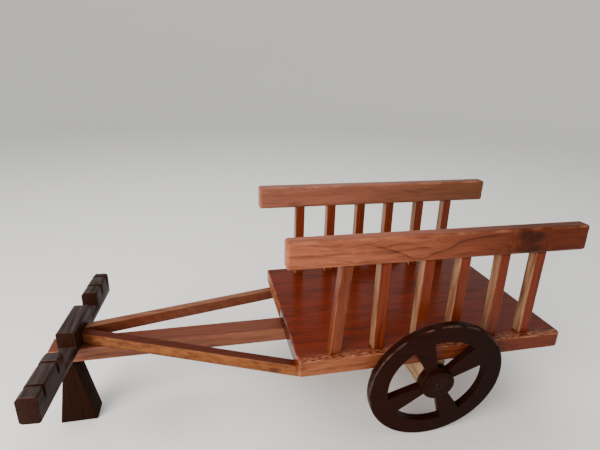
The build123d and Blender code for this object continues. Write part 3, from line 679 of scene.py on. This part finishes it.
def eased(name, node, width_mm):
    """Stands for a shaped CAD node: the same solid with its saw-sharp edges eased by
    sandpaper, width_mm across."""
    shape = merged_copy(node)
    mesh = bpy.data.meshes.new(name)
    shape.to_mesh(mesh)
    shape.free()
    mesh.materials.clear()
    mesh.materials.append(finish_for(node))
    piece = bpy.data.objects.new(name, mesh)
    bpy.context.scene.collection.objects.link(piece)
    bevel = piece.modifiers.new("eased", "BEVEL")
    bevel.width = width_mm * MM
    bevel.segments = EASED_STEPS
    bevel.limit_method = "ANGLE"
    bevel.angle_limit = SHARP_EDGE
    bevel.harden_normals = True
    bevel.use_clamp_overlap = False
    mesh.materials.append(finish_for(node))
    bevel.material = 1
    mesh.shade_smooth()
    seen = piece.evaluated_get(bpy.context.evaluated_depsgraph_get())
    finished = bpy.data.meshes.new_from_object(seen)
    piece.modifiers.remove(bevel)
    piece.data = finished
    # A bevel that found no room in a tight corner is laid back on the solid.
    solid = BVHTree.FromPolygons([v.co for v in mesh.vertices],
                                 [tuple(f.vertices) for f in mesh.polygons])
    for vertex in finished.vertices:
        nearest, _, _, off = solid.find_nearest(vertex.co)
        if off > width_mm * MM:
            vertex.co = nearest
    # The eased edges carry the second slot, which becomes the attribute rubbed.
    rubbed = finished.attributes.new("rubbed", "FLOAT", "FACE")
    for polygon in finished.polygons:
        rubbed.data[polygon.index].value = float(polygon.material_index)
        polygon.material_index = 0
    finished.materials.pop(index=1)
    stands_for(piece, node)


def sanded_wheel(name, node, width_mm, drop_mm):
    """Stands for a wheel sawn from one board: the same solid with the edges of its flat
    faces sanded back by width_mm across and drop_mm down."""
    joint = next(j for j in frame["joints"] if j["name"].startswith(node.split("_")[0]))
    axis, hub = Vector(joint["axis"]).normalized(), Vector(joint["pos_m"])
    radius = (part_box(node)[1].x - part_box(node)[0].x) / 2
    shape = merged_copy(node)
    rubbed = shape.faces.layers.float.new("rubbed")
    for outward in (axis, -axis):
        flat = [f for f in shape.faces if f.normal.dot(outward) > 0.999]
        ring = bmesh.ops.inset_region(shape, faces=flat, thickness=width_mm * MM,
                                      use_boundary=True, use_even_offset=True)["faces"]
        inside = {v for f in flat for v in f.verts}
        edge_line = {v for f in ring for v in f.verts} - inside
        for vertex in edge_line:
            side_faces = [f for f in vertex.link_faces if abs(f.normal.dot(axis)) < 0.1]
            middle = sum((f.calc_center_median() for f in side_faces), Vector())
            if side_faces and (middle / len(side_faces) - vertex.co).dot(outward) < 0:
                vertex.co -= outward * drop_mm * MM
        for face in ring:
            face[rubbed] = OPENING_RUB
    # The round along the outer edge is knocked and rubbed, and its pale colour is partly a
    # painted highlight; the openings keep their stain.
    for face in shape.faces:
        reach = (face.calc_center_median() - hub).length
        if reach > radius - 3 * MM and 0.05 < abs(face.normal.dot(axis)) < 0.98:
            face[rubbed] = 1.0
    settled(name, node, shape)


def rubbed_board(name, node):
    """Stands for a deck board: the same solid, with its rounded edges marked as rubbed.
    The groove of the glue line in the middle keeps its varnish."""
    shape = merged_copy(node)
    rubbed = shape.faces.layers.float.new("rubbed")
    for face in shape.faces:
        is_rounded = 0.1 < abs(face.normal.z) < 0.98
        if is_rounded and abs(face.calc_center_median().y) > 2 * MM:
            face[rubbed] = 1.0
    settled(name, node, shape)


for side in ("left", "right"):
    rubbed_board(side + "_rubbed_deck_board", side + "_deck_board")
    sanded_wheel(side + "_sanded_wheel", side + "_wheel", 0.8, 0.6)
    eased(side + "_sanded_hub_cap", side + "_hub_cap", 0.4)
    eased(side + "_sanded_brace", side + "_brace", 0.6)
eased("carved_yoke", "yoke", 0.9)
eased("sawn_prop", "prop", 0.8)
eased("sawn_axle_block", "axle_block", 0.6)


# -------------------------------------------------------------- screws and nails

def driven_head_tree():
    """A domed head with a cross for the driver, set at each given point. Cross Width 0
    leaves the plain crown of a nail."""
    tree = bpy.data.node_groups.new("driven_head", "GeometryNodeTree")
    face = tree.interface
    face.new_socket("Geometry", in_out="OUTPUT", socket_type="NodeSocketGeometry")
    for label, kind in (("Points", "Geometry"), ("Head Radius", "Float"),
                        ("Crown", "Float"), ("Shank Radius", "Float"),
                        ("Shank Length", "Float"), ("Cross Width", "Float"),
                        ("Turn", "Rotation"), ("Finish", "Material")):
        face.new_socket(label, in_out="INPUT", socket_type="NodeSocket" + kind)
    given = add_node(tree, "NodeGroupInput").outputs
    dome = add_node(tree, "GeometryNodeMeshUVSphere",
                    {"Segments": 40, "Rings": 20, "Radius": 1.0}).outputs["Mesh"]
    scale = add_node(tree, "ShaderNodeCombineXYZ",
                     {0: given["Head Radius"], 1: given["Head Radius"], 2: given["Crown"]})
    dome = add_node(tree, "GeometryNodeTransform",
                    {"Geometry": dome, "Scale": scale.outputs[0]}).outputs["Geometry"]
    long_side = add_node(tree, "ShaderNodeMath", {0: given["Head Radius"], 1: 1.15},
                         operation="MULTIPLY").outputs[0]
    deep = add_node(tree, "ShaderNodeMath", {0: given["Crown"], 1: 1.1},
                    operation="MULTIPLY").outputs[0]
    bars = []
    for first, second in ((long_side, given["Cross Width"]),
                          (given["Cross Width"], long_side)):
        size = add_node(tree, "ShaderNodeCombineXYZ", {0: first, 1: second, 2: deep})
        bar = add_node(tree, "GeometryNodeMeshCube", {"Size": size.outputs[0]})
        lift = add_node(tree, "ShaderNodeCombineXYZ", {2: given["Crown"]})
        bars.append(add_node(tree, "GeometryNodeTransform",
                             {"Geometry": bar.outputs["Mesh"],
                              "Translation": lift.outputs[0]}).outputs["Geometry"])
    cut = add_node(tree, "GeometryNodeMeshBoolean", {"Mesh 1": dome}, operation="DIFFERENCE",
                   solver="EXACT")
    for bar in bars:
        tree.links.new(bar, cut.inputs["Mesh 2"])
    shank = add_node(tree, "GeometryNodeMeshCylinder",
                     {"Vertices": 24, "Radius": given["Shank Radius"],
                      "Depth": given["Shank Length"]})
    half = add_node(tree, "ShaderNodeMath", {0: given["Shank Length"], 1: -0.5},
                    operation="MULTIPLY").outputs[0]
    drop = add_node(tree, "ShaderNodeCombineXYZ", {2: half})
    sunk = add_node(tree, "GeometryNodeTransform",
                    {"Geometry": shank.outputs["Mesh"], "Translation": drop.outputs[0]})
    whole = add_node(tree, "GeometryNodeJoinGeometry")
    tree.links.new(cut.outputs["Mesh"], whole.inputs["Geometry"])
    tree.links.new(sunk.outputs["Geometry"], whole.inputs["Geometry"])
    set_in = add_node(tree, "GeometryNodeInstanceOnPoints",
                      {"Points": given["Points"], "Instance": whole.outputs["Geometry"],
                       "Rotation": given["Turn"]})
    real = add_node(tree, "GeometryNodeRealizeInstances",
                    {"Geometry": set_in.outputs["Instances"]})
    finished = add_node(tree, "GeometryNodeSetMaterial",
                        {"Geometry": real.outputs["Geometry"], "Material": given["Finish"]})
    add_node(tree, "NodeGroupOutput", {"Geometry": finished.outputs["Geometry"]})
    return tree


def separate_solids(node):
    """(lowest corner, highest corner) of each separate solid in a CAD node."""
    shape = bmesh.new()
    shape.from_mesh(nodes[node].data)
    bmesh.ops.remove_doubles(shape, verts=shape.verts, dist=SAME_CORNER)
    found, seen = [], set()
    for start in shape.verts:
        if start in seen:
            continue
        seen.add(start)
        group, waiting = [], [start]
        while waiting:
            vertex = waiting.pop()
            group.append(vertex.co.copy())
            for edge in vertex.link_edges:
                other = edge.other_vert(vertex)
                if other not in seen:
                    seen.add(other)
                    waiting.append(other)
        found.append((Vector(min(p[i] for p in group) for i in range(3)),
                      Vector(max(p[i] for p in group) for i in range(3))))
    shape.free()
    return found


head_tree = driven_head_tree()


def driven_heads(name, node, places, turn, head_mm, crown_mm, shank_mm, length_mm, cross_mm):
    """Stands for the plain fasteners of one CAD node, one at each place."""
    spots = bpy.data.meshes.new(name)
    spots.from_pydata([tuple(p) for p in places], [], [])
    values = {"Head Radius": head_mm * MM, "Crown": crown_mm * MM,
              "Shank Radius": shank_mm * MM, "Shank Length": length_mm * MM,
              "Cross Width": cross_mm * MM, "Turn": tuple(turn),
              "Finish": finish_for(node)}
    heads = grown(name, head_tree, values, spots)
    for polygon in heads.data.polygons:
        polygon.use_smooth = False
    stands_for(heads, node)


# Heads under the cart look down, with their crosses turned a little off the cart's axes.
FACE_DOWN = (math.pi, 0, 0.4)
AXLE_CROWN_MM = 1.9
for node, head, crown, shank, cross in (("axle_block_screws", 3.7, 1.1, 1.9, 1.1),
                                        ("pole_screws", 3.7, 1.1, 1.9, 1.1),
                                        ("yoke_screws", 3.7, 1.1, 1.9, 1.1),
                                        ("brace_nails", 2.2, 0.5, 0.95, 0.0001)):
    solids = separate_solids(node)
    under = min(low.z for low, high in solids)
    height = (max(high.z for low, high in solids) - under) / MM
    sink = 0.0003 if head > 3 else 0.0004
    spots = [((low.x + high.x) / 2, (low.y + high.y) / 2, under + sink)
             for low, high in solids]
    driven_heads(node.replace("_screws", "_cross_screws").replace("_nails", "_round_nails"),
                 node, spots, FACE_DOWN, head, crown, shank, height - 1, cross)
for joint in frame["joints"]:
    side = joint["name"].split("_")[0]
    node = side + "_axle_screw"
    axis = Vector(joint["axis"]).normalized()
    points = [Vector(v.co) for v in nodes[node].data.vertices]
    far = max(points, key=lambda p: p.dot(axis)).dot(axis)
    near = min(points, key=lambda p: p.dot(axis)).dot(axis)
    centre = Vector(joint["pos_m"])
    top = centre + axis * (far - centre.dot(axis) - AXLE_CROWN_MM * MM)
    turn = axis.to_track_quat("Z", "Y").to_euler()
    driven_heads(side + "_cross_axle_screw", node, [top], turn, 4.1, AXLE_CROWN_MM,
                 2.45, (far - near) / MM - 2, 1.2)


# ------------------------------------------------------------------ floor and light

def studio_floor():
    """A pale floor that sweeps up at its edge into a low round wall."""
    flat_reach, sweep, steps, around = 2.6, 1.2, 12, 96
    rim = [(flat_reach, 0.0)]
    for step in range(1, steps + 1):
        angle = QUARTER * step / steps
        rim.append((flat_reach + sweep * math.sin(angle), sweep - sweep * math.cos(angle)))
    points = [(0, 0, 0)]
    faces = []
    for radius, height in rim:
        points += [(radius * math.cos(2 * math.pi * k / around),
                    radius * math.sin(2 * math.pi * k / around), height)
                   for k in range(around)]
    for k in range(around):
        following = (k + 1) % around
        faces.append((0, 1 + k, 1 + following))
        for ring in range(len(rim) - 1):
            a, b = 1 + ring * around, 1 + (ring + 1) * around
            faces.append((a + k, b + k, b + following, a + following))
    mesh = bpy.data.meshes.new("studio_floor")
    mesh.from_pydata(points, [], faces)
    mesh.shade_smooth()
    floor = bpy.data.objects.new("studio_floor", mesh)
    bpy.context.scene.collection.objects.link(floor)
    # Matt pale paint: it takes soft shadows and no reflections.
    paint = bpy.data.materials.new("matt_pale_floor")
    paint.use_nodes = True
    shader = paint.node_tree.nodes["Principled BSDF"]
    shader.inputs["Base Color"].default_value = srgb("#f6f5f3")
    shader.inputs["Roughness"].default_value = 0.9
    shader.inputs["Specular IOR Level"].default_value = 0.1
    mesh.materials.append(paint)


def soft_light(name, place, aim, width, height, watts, colour):
    """A rectangular area light at a place, turned towards its aim."""
    data = bpy.data.lights.new(name, "AREA")
    data.shape = "RECTANGLE"
    data.size = width
    data.size_y = height
    data.energy = watts
    data.color = srgb(colour)[:3]
    light = bpy.data.objects.new(name, data)
    light.location = place
    light.rotation_mode = "QUATERNION"
    light.rotation_quaternion = (Vector(aim) - Vector(place)).to_track_quat("-Z", "Y")
    bpy.context.scene.collection.objects.link(light)


studio_floor()
soft_light("window_side", (-0.95, -0.75, 0.62), (-0.02, -0.05, 0.16), 0.9, 0.8, 26, "#fff8f0")
soft_light("overhead", (-0.1, 0.5, 1.5), (0.0, 0.0, 0.1), 1.6, 1.2, 12, "#ffffff")
soft_light("fill", (1.1, -0.9, 0.8), (0.1, 0.0, 0.1), 1.0, 1.0, 2, "#fff4ea")

world = bpy.data.worlds.new("pale_studio")
world.use_nodes = True
world.node_tree.nodes["Background"].inputs["Color"].default_value = srgb("#ffffff")
world.node_tree.nodes["Background"].inputs["Strength"].default_value = 0.6
bpy.context.scene.world = world

camera_data = bpy.data.cameras.new("camera")
camera_data.lens = 26.775
camera_data.sensor_width = 36
camera_data.clip_start = 0.01
camera = bpy.data.objects.new("camera", camera_data)
# The camera's own axes in the cart's frame.
right = Vector((0.97656, -0.21388, 0.02412))
up = Vector((0.05022, 0.33541, 0.94073))
back = Vector((-0.20929, -0.91747, 0.33829))
turned = Matrix((right, up, back)).transposed()
camera.rotation_mode = "QUATERNION"
camera.rotation_quaternion = turned.to_quaternion()
camera.location = (-0.11211, -0.46237, 0.38696)
bpy.context.scene.collection.objects.link(camera)
bpy.context.scene.camera = camera
